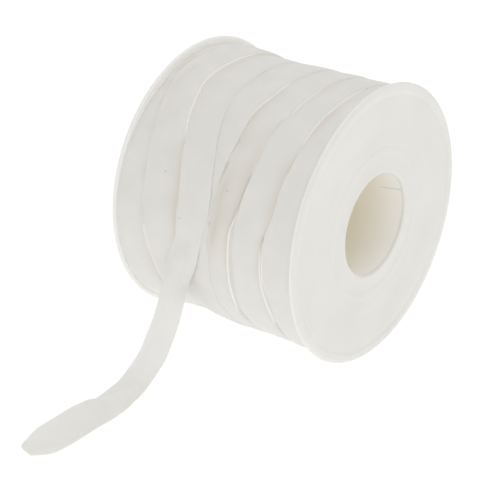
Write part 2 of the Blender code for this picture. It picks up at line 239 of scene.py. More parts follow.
# Where an edge does not look as it mostly does, with its pile rounded over the selvedge.
# Bare: the selvedge shows, by this share. Closed: the pile meets the next turn's.
EdgeLook = namedtuple("EdgeLook", "run side start end bare closed")
EDGE_LOOKS = [
    EdgeLook("upper", "left", 600, 900, 0.0, 1.0),
    EdgeLook("flange", "left", 0, 400, 0.0, 1.0),
    EdgeLook("lower", "right", 1030, 1440, 0.0, 1.0),
    EdgeLook("upper", "right", 14, 160, 0.0, 1.0),
    EdgeLook("lower", "left", -260, 165, 0.0, 1.0),
    EdgeLook("lower", "right", -130, -8, 0.0, 1.0),
    EdgeLook("upper", "right", 290, 352, 0.0, 1.0),
    EdgeLook("lower", "left", 250, 348, 0.0, 1.0),
    EdgeLook("upper", "left", 366, 480, 0.0, 1.0),
    EdgeLook("upper", "right", 400, 462, 0.7, 0.0),
    EdgeLook("upper", "left", 330, 366, 0.4, 0.8),
    EdgeLook("lower", "right", 57, 84, 0.6, 0.0),
    EdgeLook("lower", "right", 326, 380, 1.0, 0.0),
    EdgeLook("lower", "right", 419, 446, 0.55, 0.0),
    EdgeLook("lower", "right", 684, 727, 1.0, 0.0),
    EdgeLook("lower", "right", 769, 812, 0.55, 0.0),
    EdgeLook("lower", "left", 1048, 1086, 1.0, 0.0),
    EdgeLook("lower", "left", 1092, 1121, 0.5, 0.0),
]
LOOK_FADE = 6.0                 # degrees over which one look passes into the next

CROWN = 0.2                     # a turn's middle stands this much above its edges
LAYER = 0.75                    # the turns below lie this much lower
PRESSED_UNDER = 0.45            # a turn lies this much below the one on it
BARE_DROP = 0.15                # and this much more beside a bare selvedge
CLOSED_SHARE = 0.93             # and less by this share where the pile closes over the edge
LIFTED_OVER = 0.25              # and lifts this much over the one below
TENT_SLOPE = 0.3                # the lift fades beside the lower turn, mm for a mm
EDGE_GROOVE = 0.6               # the lower turn comes up again beside the upper one, mm for a mm
TOUCHING = 0.40                 # where it lies deeper than this, its pile stands up to the edge
BARE_TOUCHING = 0.16            # deeper by this beside a bare selvedge
TOUCH_SLOPE = 0.40              # and falls away beside it, mm for a mm
FULL_OVERLAP = 0.8              # from this overlap on, one turn presses the other fully
CHANGE_OVER = 0.3               # and from this difference in height
AIR = 0.01                      # between the loose end and the turns that it rests on
THINNEST = 0.08                 # the loose end's pressed edge
DEEP_HOLLOW = 0.8               # a spot this much below its surroundings is fully in a hollow
MAP_ANGLES = 90                 # the map of heights has this many angles
MAP_PLACES = [float(x) for x in range(-29, 30)]
MAP_PASSES = 22                 # and is smoothed this often along the axis
MAP_PASSES_ROUND = 2            # and this often round the roll
BELOW_NEAR = 0.3                # the nearer a turn, the more it shapes the turns below it

# Slow ripples in how each turn was laid: height, length along the ribbon, and skew across.
Ripple = namedtuple("Ripple", "height length skew")
RIPPLES = [
    Ripple(0.05, 5.1, 2.0),
    Ripple(0.03, 2.3, -3.1),
]

# The closed drum of turns under those that show
DRUM_OUTER_SIDE = 28.9
DRUM_INNER_SIDE = 28.4
DRUM_INNER_RADIUS = CORE_RADIUS + 0.05
DRUM_COLUMNS = 60
DRUM_RINGS = 180
DRUM_RING_LENGTH = 1.25         # of ribbon from one ring to the next, for the pile's map

# The loose end past the front of the roll: its centre line, and how its section leans
# (left edge outwards) and cups (both edges outwards). Y is from the axis, Z from the floor.
Station = namedtuple("Station", "x y z lean cup")
LOOSE_END = [
    Station(-7.0, -39.1, 33.7, -4, -0.9),
    Station(-9.5, -39.4, 26.4, -4, -2.4),
    Station(-9.8, -41.4, 20.9, -6, -2.4),
    Station(-10.1, -43.4, 15.5, -5, -2.2),
    Station(-10.3, -46.1, 11.0, -4, -2.1),
    Station(-10.2, -49.1, 7.2, -4, -2.0),
    Station(-10.4, -52.6, 4.4, -5, -1.9),
    Station(-10.2, -56.8, 2.4, -4, -1.9),
    Station(-9.6, -62.0, 1.2, 0, -1.9),
    Station(-8.9, -68.0, 0.8, 1, -1.4),
    Station(-9.1, -72.0, 1.0, 7, -0.2),
    Station(-9.4, -77.0, 1.3, 9, 0.1),
    Station(-9.6, -86.0, 1.3, 9, 0.1),
    Station(-10.0, -93.0, 1.3, 6, 0.0),
    Station(-10.4, -96.5, 1.2, 3, -0.3),
    Station(-10.6, -98.3, 0.6, 0, -0.5),
]
TIP_LENGTH = 9.0
TIP_LEFT_SHARE = 0.45           # the cut end is narrower by this share of its left half
TIP_RIGHT_SHARE = 0.70          # and of its right half
TIP_LEFT_POWER = 1.5
TIP_RIGHT_POWER = 3.2
TIP_LEFT_BACK = 0.6             # its left corner stands back by this

# Half of the ribbon's section, from its edge to its middle: how far across, and how high
# the surface stands above the woven back where the pile is rounded over the edge, where
# the selvedge is bare, and where the pile closes on the next turn's.
RibbonPoint = namedtuple("RibbonPoint", "across rounded bare closed")
RIBBON_SECTION = [
    RibbonPoint(1.000, 0.28, 0.12, 0.875),
    RibbonPoint(0.988, 0.46, 0.23, 0.88),
    RibbonPoint(0.965, 0.58, 0.27, 0.885),
    RibbonPoint(0.935, 0.67, 0.26, 0.89),
    RibbonPoint(0.910, 0.72, 0.26, 0.89),
    RibbonPoint(0.890, 0.75, 0.34, 0.895),
    RibbonPoint(0.870, 0.78, 0.54, 0.895),
    RibbonPoint(0.840, 0.81, 0.70, 0.895),
    RibbonPoint(0.780, 0.85, 0.82, 0.90),
    RibbonPoint(0.650, 0.88, 0.88, 0.90),
    RibbonPoint(0.450, 0.90, 0.90, 0.90),
    RibbonPoint(0.220, 0.90, 0.90, 0.90),
    RibbonPoint(0.000, 0.90, 0.90, 0.90),
]
PILE_HEIGHT = 0.90
SELVEDGE_SHARE = 0.90           # the pile starts inside this share of the half width

# Lights, in metres and watts
SoftBox = namedtuple("SoftBox", "name place size watts")
SOFT_BOXES = [
    SoftBox("softbox_top", (0.05, 0.35, 0.85), 0.7, 1.4),
    SoftBox("softbox_over", (0.0, -0.25, 0.9), 0.6, 0.34),
    SoftBox("softbox_right", (0.45, -0.65, 0.15), 0.5, 0.42),
    SoftBox("softbox_front", (-0.35, -0.9, 0.35), 0.6, 0.42),
]
LIGHTS_AIM = (0.0, 0.0, 0.03)
TENT_STRENGTH = 0.7
TABLE_SIZE = 4.0

# Camera, as fitted to the outlines in the photo, in metres and degrees
EYE_FROM_AXIS = (0.25574, -0.35752, 0.20651)
EYE_DOWN = 26.645
EYE_ROUND = 37.29
LENS = 127.95
SENSOR = 36.0


def srgb(hex_code):
    """Turn an sRGB hex colour into linear red, green, blue and full alpha."""
    channels = [int(hex_code[i:i + 2], 16) / 255 for i in (0, 2, 4)]
    linear = [c / 12.92 if c <= 0.04045 else ((c + 0.055) / 1.055) ** 2.4 for c in channels]
    return (*linear, 1.0)


# Materials

def add_node(tree, kind, settings=None, links=None):
    """Add a node, set its properties or sockets by name, and link other outputs into it."""
    node = tree.nodes.new(kind)
    for name, value in (settings or {}).items():
        if isinstance(name, int) or name in node.inputs:
            node.inputs[name].default_value = value
        else:
            setattr(node, name, value)
    for name, output in (links or {}).items():
        tree.links.new(output, node.inputs[name])
    return node


def start_material(name, settings):
    """Start a material: it, its tree and its shader, with the settings made."""
    material = bpy.data.materials.new(name)
    material.use_nodes = True
    shader = material.node_tree.nodes["Principled BSDF"]
    for socket, value in settings.items():
        shader.inputs[socket].default_value = value
    return material, material.node_tree, shader


def colour_between(tree, factor, first, second):
    """Mix two sRGB colours by a factor output."""
    ramp = add_node(tree, "ShaderNodeValToRGB", links={"Fac": factor})
    ramp.color_ramp.elements[0].color = srgb(first)
    ramp.color_ramp.elements[1].color = srgb(second)
    return ramp.outputs["Color"]


def let_light_through(tree, shader):
    """Add the light that comes through a thin wall or cloth, and return its colour socket."""
    through = add_node(tree, "ShaderNodeBsdfTranslucent")
    both = add_node(tree, "ShaderNodeAddShader", links={0: shader.outputs[0],
                                                        1: through.outputs[0]})
    tree.links.new(both.outputs[0], tree.nodes["Material Output"].inputs["Surface"])
    return through.inputs["Color"]


def from_the_axis(tree):
    """Object coordinates moved so that the spool's axis is their X axis."""
    place = add_node(tree, "ShaderNodeTexCoord").outputs["Object"]
    return add_node(tree, "ShaderNodeMapping", {
        "Location": (0.0, -AXIS_Y * MM, -AXIS_Z * MM),
    }, {"Vector": place}).outputs["Vector"]


def white_velvet():
    """White cut-pile velvet ribbon.

    The pile is dense, upright and matt, with a soft sheen at grazing angles and faint
    patches where the nap lies another way. Painted shade makes it darker and creamier in
    the hollows between the turns, and it has caught a few specks of lint. The selvedges are
    lighter woven bands. More light comes through the loose end, a single layer, than
    through the roll.
    """
    material, tree, shader = start_material("white cut-pile velvet", {
        "Roughness": 0.92,
        "IOR": 1.5,
        "Sheen Weight": 0.30,
        "Sheen Roughness": 0.45,
        "Specular IOR Level": 0.25,
    })
    uv = add_node(tree, "ShaderNodeUVMap", {"uv_map": "ribbon_mm"}).outputs["UV"]
    nap = add_node(tree, "ShaderNodeTexNoise", {"Scale": 0.16, "Detail": 3.0}, {"Vector": uv})
    grain = add_node(tree, "ShaderNodeTexNoise", {"Scale": 2.6, "Detail": 2.0}, {"Vector": uv})
    tufts = add_node(tree, "ShaderNodeTexNoise", {"Scale": 5.0, "Detail": 1.0}, {"Vector": uv})
    bare = add_node(tree, "ShaderNodeAttribute", {"attribute_name": "bare_edge"}).outputs["Fac"]
    hollow = add_node(tree, "ShaderNodeAttribute", {"attribute_name": "hollow"}).outputs["Fac"]
    mottled = add_node(tree, "ShaderNodeMix", {"data_type": "FLOAT", "Factor": 0.35},
                       {2: nap.outputs["Fac"], 3: grain.outputs["Fac"]})
    pile_colour = colour_between(tree, mottled.outputs[0], "D7D5D0", "E6E4E0")
    # painted shade: the pile colour is mixed towards a darker cream where the ribbon lies in a
    # hollow between turns
    shaded_in_hollows = add_node(tree, "ShaderNodeMix", {"data_type": "RGBA", 7: srgb("CFC7B9")},
                       {0: hollow, 6: pile_colour})
    sprinkled = add_node(tree, "ShaderNodeTexVoronoi", {
        "voronoi_dimensions": "2D", "Scale": 1 / LINT_SPACING,
    }, {"Vector": uv})
    lint = add_node(tree, "ShaderNodeMapRange", {
        "From Min": 0.10 / LINT_SPACING, "From Max": 0.45 / LINT_SPACING,
        "To Min": 0.35, "To Max": 0.0,
    }, {"Value": sprinkled.outputs["Distance"]})
    specked = add_node(tree, "ShaderNodeMix", {"data_type": "RGBA", 7: srgb("8C8780")},
                       {0: lint.outputs["Result"], 6: shaded_in_hollows.outputs[2]})
    colour = add_node(tree, "ShaderNodeMix", {"data_type": "RGBA", 7: srgb("F1EFE9")},
                      {0: bare, 6: specked.outputs[2]})
    tree.links.new(colour.outputs[2], shader.inputs["Base Color"])
    bump = add_node(tree, "ShaderNodeBump", {"Strength": 0.3, "Distance": 0.12 * MM},
                    {"Height": tufts.outputs["Fac"]})
    tree.links.new(bump.outputs["Normal"], shader.inputs["Normal"])
    single = add_node(tree, "ShaderNodeAttribute", {"attribute_name": "single_layer"})
    lit_through = add_node(tree, "ShaderNodeMix", {
        "data_type": "RGBA", 6: srgb("747473"), 7: srgb("808284"),
    }, {0: single.outputs["Fac"]})
    tree.links.new(lit_through.outputs[2], let_light_through(tree, shader))
    return material


def white_moulded_polystyrene():
    """White injection-moulded polystyrene, slightly satin.

    The face carries very faint turning marks from the mould and a soft unevenness. The inner
    side of the rim is painted a little lighter, as painted light for the light that reaches it.
    """
    material, tree, shader = start_material("white moulded polystyrene", {
        "Roughness": 0.42,
        "IOR": 1.59,
        "Specular IOR Level": 0.4,
    })
    centred = from_the_axis(tree)
    cloud = add_node(tree, "ShaderNodeTexNoise", {"Scale": 60.0, "Detail": 3.0},
                     {"Vector": centred})
    face_colour = colour_between(tree, cloud.outputs["Fac"], "E2E0DB", "EBEAE6")
    off_axis = add_node(tree, "ShaderNodeVectorMath", {
        "operation": "MULTIPLY", 1: (0.0, 1.0, 1.0),
    }, {0: centred})
    radius = add_node(tree, "ShaderNodeVectorMath", {"operation": "LENGTH"},
                      {0: off_axis.outputs["Vector"]})
    rim = add_node(tree, "ShaderNodeMapRange", {
        "From Min": 36.0 * MM, "From Max": 37.0 * MM,
    }, {"Value": radius.outputs["Value"]})
    along = add_node(tree, "ShaderNodeSeparateXYZ", links={"Vector": centred}).outputs["X"]
    from_middle = add_node(tree, "ShaderNodeMath", {"operation": "ABSOLUTE"}, {0: along})
    inner_side = add_node(tree, "ShaderNodeMapRange", {
        "From Min": 30.4 * MM, "From Max": 29.9 * MM,
    }, {"Value": from_middle.outputs[0]})
    painted_rim_light = add_node(tree, "ShaderNodeMath", {"operation": "MULTIPLY"},
                         {0: rim.outputs["Result"], 1: inner_side.outputs["Result"]})
    # painted light: the inner side of the rim is made lighter, for the light that falls on it
    colour = add_node(tree, "ShaderNodeMix", {"data_type": "RGBA", 7: srgb("F0EFEB")},
                      {0: painted_rim_light.outputs[0], 6: face_colour})
    tree.links.new(colour.outputs[2], shader.inputs["Base Color"])
    marks = add_node(tree, "ShaderNodeTexWave", {
        "wave_type": "RINGS", "rings_direction": "X", "Scale": 260.0, "Distortion": 0.4,
    }, {"Vector": centred})
    orange_peel = add_node(tree, "ShaderNodeTexNoise", {"Scale": 900.0, "Detail": 1.0},
                           {"Vector": centred})
    first = add_node(tree, "ShaderNodeBump", {"Strength": 0.10, "Distance": 0.02 * MM},
                     {"Height": marks.outputs["Fac"]})
    second = add_node(tree, "ShaderNodeBump", {"Strength": 0.12, "Distance": 0.03 * MM},
                      {"Height": orange_peel.outputs["Fac"], "Normal": first.outputs["Normal"]})
    tree.links.new(second.outputs["Normal"], shader.inputs["Normal"])
    let_light_through(tree, shader).default_value = srgb("666562")
    return material


def cream_core_plastic():
    """Cream extruded plastic tube: warmer than the flanges. Painted light makes it paler
    towards its two ends, where more light reaches into the bore.

    One fine dark scratch runs along the bore near its right end.
    """
    material, tree, shader = start_material("cream extruded core", {
        "Roughness": 0.6,
        "IOR": 1.5,
    })
    place = add_node(tree, "ShaderNodeTexCoord").outputs["Object"]
    stretched = add_node(tree, "ShaderNodeMapping", {"Scale": (0.15, 1.0, 1.0)},
                         {"Vector": place}).outputs["Vector"]
    streaks = add_node(tree, "ShaderNodeTexNoise", {"Scale": 500.0, "Detail": 2.0},
                       {"Vector": stretched})
    cream = colour_between(tree, streaks.outputs["Fac"], "FAF3E0", "FDF8EC")

    parts = add_node(tree, "ShaderNodeSeparateXYZ",
                     links={"Vector": from_the_axis(tree)}).outputs
    from_middle = add_node(tree, "ShaderNodeMath", {"operation": "ABSOLUTE"}, {0: parts["X"]})
    near_mouth = add_node(tree, "ShaderNodeMapRange", {
        "From Min": 14.0 * MM, "From Max": 29.0 * MM,
    }, {"Value": from_middle.outputs[0]})
    # painted light: paler towards the mouths, where more light reaches into the bore
    lit_near_mouths = add_node(tree, "ShaderNodeMix", {"data_type": "RGBA", 7: srgb("FFFEFB")},
                     {0: near_mouth.outputs["Result"], 6: cream})
    front = add_node(tree, "ShaderNodeMath", {"operation": "MULTIPLY", 1: -1.0}, {0: parts["Y"]})
    around = add_node(tree, "ShaderNodeMath", {"operation": "ARCTAN2"},
                      {0: parts["Z"], 1: front.outputs[0]})
    scratch_line = add_node(tree, "ShaderNodeMath", {
        "operation": "MULTIPLY_ADD",
        1: radians(SCRATCH_SLOPE) / MM,
        2: -radians(SCRATCH_ANGLE + SCRATCH_SLOPE * SCRATCH_START),
    }, {0: parts["X"]})
    beside = add_node(tree, "ShaderNodeMath", {"operation": "ADD"},
                      {0: around.outputs[0], 1: scratch_line.outputs[0]})
    off_line = add_node(tree, "ShaderNodeMath", {"operation": "ABSOLUTE"}, {0: beside.outputs[0]})
    on_line = add_node(tree, "ShaderNodeMapRange", {
        "From Min": 0.004, "From Max": 0.014, "To Min": 0.3, "To Max": 0.0,
    }, {"Value": off_line.outputs[0]})
    from_start = add_node(tree, "ShaderNodeMapRange", {
        "From Min": SCRATCH_START * MM, "From Max": (SCRATCH_START + 2.0) * MM,
    }, {"Value": parts["X"]})
    scratch = add_node(tree, "ShaderNodeMath", {"operation": "MULTIPLY"},
                       {0: on_line.outputs["Result"], 1: from_start.outputs["Result"]})
    colour = add_node(tree, "ShaderNodeMix", {"data_type": "RGBA", 7: srgb("5A5142")},
                      {0: scratch.outputs[0], 6: lit_near_mouths.outputs[2]})
    tree.links.new(colour.outputs[2], shader.inputs["Base Color"])
    bump = add_node(tree, "ShaderNodeBump", {"Strength": 0.2, "Distance": 0.03 * MM},
                    {"Height": streaks.outputs["Fac"]})
    tree.links.new(bump.outputs["Normal"], shader.inputs["Normal"])
    return material


def lit_table():
    """The studio's white table, lit from below so that it stays pale under the object."""
    return start_material("white lit table", {
        "Base Color": srgb("959595"),
        "Roughness": 0.8,
        "Emission Color": (1.0, 1.0, 1.0, 1.0),
        "Emission Strength": 0.78,
    })[0]


# Spool

def deselect_all():
    """Leave edit mode and clear the selection, before a new piece is made."""
    if bpy.context.object and bpy.context.object.mode != "OBJECT":
        bpy.ops.object.mode_set(mode="OBJECT")
    bpy.ops.object.select_all(action="DESELECT")


def turned_ring(name, section, side=1):
    """Turn a ring about the spool's axis: one circle, drawn out and resized by its section."""
    deselect_all()
    start = section[0]
    middle = (0.0, AXIS_Y * MM, AXIS_Z * MM)
    bpy.ops.mesh.primitive_circle_add(
        vertices=ROUND_STEPS, radius=start.radius * MM, fill_type="NOTHING",
        location=(side * start.x * MM, AXIS_Y * MM, AXIS_Z * MM), rotation=(0.0, pi / 2, 0.0))
    ring = bpy.context.object
    ring.name = name
    ring.data.name = name
    bpy.ops.object.transform_apply(location=True, rotation=True, scale=True)
    bpy.ops.object.mode_set(mode="EDIT")
    bpy.ops.mesh.select_all(action="SELECT")
    before = start
    for point in list(section[1:]) + [start]:
        bpy.ops.mesh.extrude_region_move(
            TRANSFORM_OT_translate={"value": (side * (point.x - before.x) * MM, 0.0, 0.0)})
        grow = point.radius / before.radius
        if grow != 1.0:
            bpy.ops.transform.resize(value=(1.0, grow, grow), center_override=middle)
        before = point
    bpy.ops.mesh.select_all(action="SELECT")
    bpy.ops.mesh.remove_doubles(threshold=MERGE_DISTANCE * MM)
    bpy.ops.mesh.normals_make_consistent(inside=False)
    bpy.ops.object.mode_set(mode="OBJECT")
    return ring


def flatten_foot(ring):
    """Cut the rim off level with the floor, as the small flat that it rests on."""
    bpy.ops.object.mode_set(mode="EDIT")
    bpy.ops.mesh.select_all(action="SELECT")
    bpy.ops.mesh.bisect(plane_co=(0.0, 0.0, 0.0), plane_no=(0.0, 0.0, 1.0),
                        clear_inner=True, use_fill=True, threshold=0.001 * MM)
    bpy.ops.object.mode_set(mode="OBJECT")


def finish_piece(piece, material, node, sharp_degrees):
    """Shade a piece, dress it, and hang it in the frame in place of its CAD node."""
    deselect_all()
    piece.select_set(True)
    bpy.context.view_layer.objects.active = piece
    bpy.ops.object.shade_smooth_by_angle(angle=radians(sharp_degrees))
    piece.data.materials.clear()
    piece.data.materials.append(material)
    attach(piece, "root")
    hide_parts(node)


# Wound ribbon

def read_rows(rows, column, key):
    """Read one column of a table at any key, on a smooth curve through the rows."""
    keys = [row[0] for row in rows]
    values = [getattr(row, column) for row in rows]
    key = min(max(key, keys[0]), keys[-1])
    i = next(n for n in range(len(keys) - 1) if key <= keys[n + 1])
    span = keys[i + 1] - keys[i]
    steps = [(values[n + 1] - values[n]) / (keys[n + 1] - keys[n]) for n in range(len(keys) - 1)]

    def slope(n):
        if n == 0 or n == len(keys) - 1:
            return 0.0
        before, after = steps[n - 1], steps[n]
        return 0.0 if before * after <= 0 else 2 * before * after / (before + after)

    t = (key - keys[i]) / span
    rise = values[i + 1] - values[i]
    return (values[i] + rise * (3 - 2 * t) * t * t
            + span * t * (1 - t) * (slope(i) * (1 - t) - slope(i + 1) * t))


def soft_step(value):
    """A soft curve from 0 to 1 for a value from 0 to 1, flat beyond."""
    value = min(max(value, 0.0), 1.0)
    return value * value * (3 - 2 * value)


def edge_look(run, side, turn_angle):
    """How bare and how closed an edge of a run is at one place, each from 0 to 1."""
    bare = closed = 0.0
    for look in EDGE_LOOKS:
        if (look.run, look.side) == (run, side):
            inside = soft_step(min(turn_angle - look.start, look.end - turn_angle) / LOOK_FADE)
            bare = max(bare, look.bare * inside)
            closed = max(closed, look.closed * inside)
    return bare, closed


Laid = namedtuple("Laid", "run angle left right left_top right_top left_look right_look")


def turn_at(run, turn_angle):
    """The edges, tops and edge looks of a run at one place."""
    columns = [read_rows(RUNS[run], column, turn_angle) for column in Turn._fields[1:]]
    return Laid(run, turn_angle, *columns, edge_look(run, "left", turn_angle),
                edge_look(run, "right", turn_angle))


def turns_at(angle):
    """All turns that cross one angle of the roll. The upper run leaves it at the front."""
    found = []
    for run, rows in RUNS.items():
        first = 0.0 if run == "upper" else rows[0].angle
        turn_angle = angle % 360.0 - 720.0
        while turn_angle <= rows[-1].angle:
            if turn_angle >= first:
                found.append(turn_at(run, turn_angle))
            turn_angle += 360.0
    return found


def others_than(turn):
    """The turns that cross the same angle of the roll as this one."""
    return [other for other in turns_at(turn.angle)
            if not (other.run == turn.run and abs(other.angle - turn.angle) < 1.0)]


def free_top(turn, x):
    """A turn's outer radius at x if nothing else were there, slightly uneven as laid."""
    across = min(max((x - turn.left) / (turn.right - turn.left), 0.0), 1.0)
    along = radians(turn.angle) * LAID_RADIUS
    uneven = sum(ripple.height * sin(along / ripple.length + ripple.skew * across)
                 for ripple in RIPPLES)
    return (turn.left_top + (turn.right_top - turn.left_top) * across
            + CROWN * (1 - (2 * across - 1) ** 4) + uneven)


def laid_top(turn, x, others):
    """A turn's outer radius at x, pushed down under the turns on it and lifted over others."""
    own = free_top(turn, x)
    is_loose = turn.run == "upper" and turn.angle <= LAID_END_ANGLE
    for other in others:
        overlap_left = max(turn.left, other.left)
        overlap_right = min(turn.right, other.right)
        share = soft_step((overlap_right - overlap_left) / FULL_OVERLAP)
        if share == 0.0:
            continue
        middle = (overlap_left + overlap_right) / 2
        above = free_top(other, middle) - free_top(turn, middle)
        beside = max(other.left - x, x - other.right, 0.0)
        theirs = free_top(other, x)
        if above > 0:
            look = other.right_look if 2 * middle > other.left + other.right else other.left_look
            drop = PRESSED_UNDER + BARE_DROP * (1.0 if is_loose else look[0])
            drop *= share * soft_step(above / CHANGE_OVER) * (1 - CLOSED_SHARE * look[1])
            own = min(own, theirs - drop + EDGE_GROOVE * beside)
            if beside > 0:
                touching = TOUCHING + BARE_TOUCHING * look[0]
                own = max(own, theirs - touching - TOUCH_SLOPE * beside)
        else:
            lift = LIFTED_OVER * soft_step(-above / CHANGE_OVER) - (1 - share)
            own = max(own, theirs + lift - TENT_SLOPE * beside)
    return own


def ring_point(x, radius, angle):
    """A point at a radius round the axis; angle 0 is the front and 90 the top. In mm."""
    return Vector((x, AXIS_Y - radius * cos(radians(angle)),
                   AXIS_Z + radius * sin(radians(angle))))


def section_across(left_look, right_look):
    """The section from left to right, as (place across from -1 to 1, height, bareness)."""
    section = []
    for side, look, half in ((-1, left_look, RIBBON_SECTION),
                             (1, right_look, RIBBON_SECTION[-2::-1])):
        bare, closed = look
        for point in half:
            height = (point.rounded + (point.bare - point.rounded) * bare
                      + (point.closed - point.rounded) * closed)
            section.append((side * point.across, height,
                            bare if point.across > SELVEDGE_SHARE else 0.0))
    return section


def add_ribbon(bm, sections):
    """Skin one length of ribbon over its sections, with a back, two edges and cut ends.

    A section is (length along the ribbon, [(top, back, mm across, bareness, hollow), ...]).
    """
    uv_layer = bm.loops.layers.uv["ribbon_mm"]
    bare_layer = bm.verts.layers.float["bare_edge"]
    hollow_layer = bm.verts.layers.float["hollow"]
    tops, backs = [], []
    for length, points in sections:
        tops.append([bm.verts.new(point[0] * MM) for point in points])
        backs.append([bm.verts.new(point[1] * MM) for point in points])
        for vert, point in zip(tops[-1], points):
            vert[bare_layer] = point[3]
            vert[hollow_layer] = point[4]
    along = [length for length, points in sections]
    across = [point[2] for point in sections[0][1]]
    last = len(across) - 1

    def face(corners):
        new = bm.faces.new([vert for vert, u, v in corners])
        for loop, (vert, u, v) in zip(new.loops, corners):
            loop[uv_layer].uv = (u, v)

    for n in range(len(sections) - 1):
        a, b = along[n], along[n + 1]
        for i in range(last):
            p, q = across[i], across[i + 1]
            face([(tops[n][i], p, a), (tops[n][i + 1], q, a),
                  (tops[n + 1][i + 1], q, b), (tops[n + 1][i], p, b)])
            face([(backs[n][i], p, a), (backs[n + 1][i], p, b),
                  (backs[n + 1][i + 1], q, b), (backs[n][i + 1], q, a)])
        for i in (0, last):
            p = across[i]
            face([(tops[n][i], p, a), (tops[n + 1][i], p, b),
                  (backs[n + 1][i], p, b), (backs[n][i], p, a)])
    for n in (0, len(sections) - 1):
        for i in range(last):
            p, q = across[i], across[i + 1]
            face([(tops[n][i], p, along[n]), (tops[n][i + 1], q, along[n]),
                  (backs[n][i + 1], q, along[n]), (backs[n][i], p, along[n])])


def laid_section(turn, length, rests_on_turns=False):
    """One section of a turn where it lies on the roll.

    Where it rests on other turns its pile gives way, so that its back lies on them.
    """
    others = others_than(turn)
    middle = (turn.left + turn.right) / 2
    half = (turn.right - turn.left) / 2
    points = []
    for share, height, bare in section_across(turn.left_look, turn.right_look):
        x = middle + share * half
        own = laid_top(turn, x, others)
        back = own - PILE_HEIGHT
        top = back + height
        if rests_on_turns:
            for other in others:
                if other.left <= x <= other.right:
                    theirs = laid_top(other, x, others_than(other))
                    if theirs < own:
                        back = max(back, theirs + AIR)
            back = min(back, top - THINNEST)
        points.append((ring_point(x, top, turn.angle), ring_point(x, back, turn.angle),
                       share * RIBBON_WIDTH / 2, bare, hollow_at(turn, x, own)))
    return length, points


def run_sections(run, start, end):
    """The sections of one run between two of its angles."""
    steps = round((end - start) / TURN_STEP)
    turns = [turn_at(run, start + (end - start) * n / steps) for n in range(steps + 1)]
    return [laid_section(turn, radians(turn.angle) * LAID_RADIUS) for turn in turns]


def map_of_heights():
    """The roll's outer radius on a grid of angles and places, smoothed."""
    heights = []
    for n in range(MAP_ANGLES):
        turns = turns_at(360.0 * n / MAP_ANGLES)
        heights.append([
            max([top_below(turns, x)]
                + [laid_top(turn, x, [other for other in turns if other is not turn])
                   for turn in turns if turn.left <= x <= turn.right])
            for x in MAP_PLACES])
    smoothed = heights
    for _ in range(MAP_PASSES):
        smoothed = [[sum(row[min(max(i + k, 0), len(row) - 1)] for k in (-1, 0, 1)) / 3
                     for i in range(len(row))] for row in smoothed]
    for _ in range(MAP_PASSES_ROUND):
        smoothed = [[sum(smoothed[(n + k) % MAP_ANGLES][i] for k in (-1, 0, 1)) / 3
                     for i in range(len(MAP_PLACES))] for n in range(MAP_ANGLES)]
    return smoothed


# this hollow share sets how much painted shade the velvet gets
def hollow_at(turn, x, radius):
    """How deep a spot lies below the roll around it, from 0 to 1."""
    place = (turn.angle % 360.0) / 360.0 * MAP_ANGLES
    row = int(place)
    share = place - row
    i = min(max(x - MAP_PLACES[0], 0.0), len(MAP_PLACES) - 1.001)
    column = int(i)
    part = i - column
    around = 0.0
    for n, weight in ((row, 1 - share), (row + 1, share)):
        heights = SMOOTHED[n % MAP_ANGLES]
        around += weight * (heights[column] * (1 - part) + heights[column + 1] * part)
    return soft_step((around - radius) / DEEP_HOLLOW)


def top_below(turns, x):
    """The outer radius of the turns under those that show: one layer lower."""
    total = weights = 0.0
    for turn in turns:
        beside = max(turn.left - x, x - turn.right, 0.0)
        weight = 1 / (BELOW_NEAR + beside) ** 2
        total += weight * free_top(turn, x)
        weights += weight
    return total / weights - LAYER


def add_turns_below(bm):
    """The closed drum of turns under those that show."""
    uv_layer = bm.loops.layers.uv["ribbon_mm"]
    rings = []
    for n in range(DRUM_RINGS):
        angle = 360.0 * n / DRUM_RINGS
        turns = turns_at(angle)
        ring = [ring_point(-DRUM_INNER_SIDE, DRUM_INNER_RADIUS, angle)]
        for i in range(DRUM_COLUMNS + 1):
            x = DRUM_OUTER_SIDE * (2 * i / DRUM_COLUMNS - 1)
            ring.append(ring_point(x, top_below(turns, x), angle))
        ring.append(ring_point(DRUM_INNER_SIDE, DRUM_INNER_RADIUS, angle))
        rings.append([bm.verts.new(spot * MM) for spot in ring])
    for n, ring in enumerate(rings):
        after = rings[(n + 1) % DRUM_RINGS]
        for i in range(len(ring)):
            j = (i + 1) % len(ring)
            new = bm.faces.new((ring[i], ring[j], after[j], after[i]))
            for loop, step in zip(new.loops, (0, 0, 1, 1)):
                loop[uv_layer].uv = (loop.vert.co.x / MM, DRUM_RING_LENGTH * (n + step))


def object_from(bm, name):
    """Make an object of the mesh, in place in the frame, with its faces outwards."""
    bmesh.ops.recalc_face_normals(bm, faces=bm.faces)
    mesh = bpy.data.meshes.new(name)
    bm.to_mesh(mesh)
    bm.free()
    piece = bpy.data.objects.new(name, mesh)
    bpy.context.collection.objects.link(piece)
    return piece


def new_cloth():
    """An empty mesh with the map and the marks that the velvet reads."""
    bm = bmesh.new()
    bm.loops.layers.uv.new("ribbon_mm")
    bm.verts.layers.float.new("bare_edge")
    bm.verts.layers.float.new("hollow")
    return bm


def wound_ribbon():
    """The roll: the turns that show, all but the last one, over the drum of those below."""
    bm = new_cloth()
    add_turns_below(bm)
    for run, rows in RUNS.items():
        start = LAID_END_ANGLE if run == "upper" else rows[0].angle
        add_ribbon(bm, run_sections(run, start, rows[-1].angle))
    return object_from(bm, "wound_ribbon")


# Loose end

